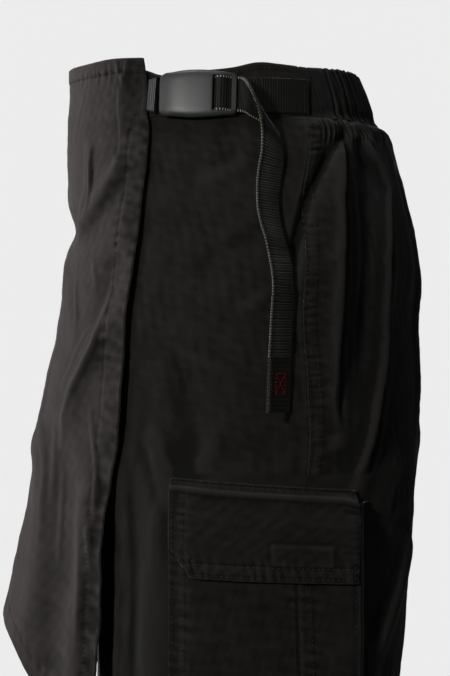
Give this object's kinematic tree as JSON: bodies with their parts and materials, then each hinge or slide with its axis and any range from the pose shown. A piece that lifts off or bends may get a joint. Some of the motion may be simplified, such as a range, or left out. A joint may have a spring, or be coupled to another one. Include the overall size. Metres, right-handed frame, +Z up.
{
  "type": "skort",
  "caption": "Worn-form women's wrap skort: wide shorts, wrap-over front panel with a slanted hem, gathered elastic back, webbing belt with buckle and a cargo pocket.",
  "frame": {"origin": "middle of the waist opening, at the height of the waistband's top edge, where the wearer holds the garment", "axes": "+Z up, -Y the way the wearer faces, +X the wearer's left"},
  "size_m": [0.3872, 0.3132, 0.4922],
  "materials": {
    "twill": "garment-washed black cotton twill, dull, with a little wear along seams and edges",
    "webbing": "ribbed black webbing with a slight sheen",
    "buckle_plastic": "fine-grained dark grey plastic",
    "label_tape": "black woven tape with a small stitched cross"
  },
  "bodies": {
    "root": {"shorts_front_left": "twill", "shorts_front_right": "twill", "shorts_back_left": "twill", "shorts_back_right": "twill", "waistband_front": "twill", "waistband_back": "twill", "wrap_panel": "twill", "pocket_bag": "twill", "pocket_flap": "twill", "belt_webbing": "webbing", "belt_stub": "webbing", "buckle_frame": "buckle_plastic", "buckle_bar": "buckle_plastic", "buckle_tongue": "buckle_plastic", "tail_label": "label_tape"}
  },
  "joints": []
}
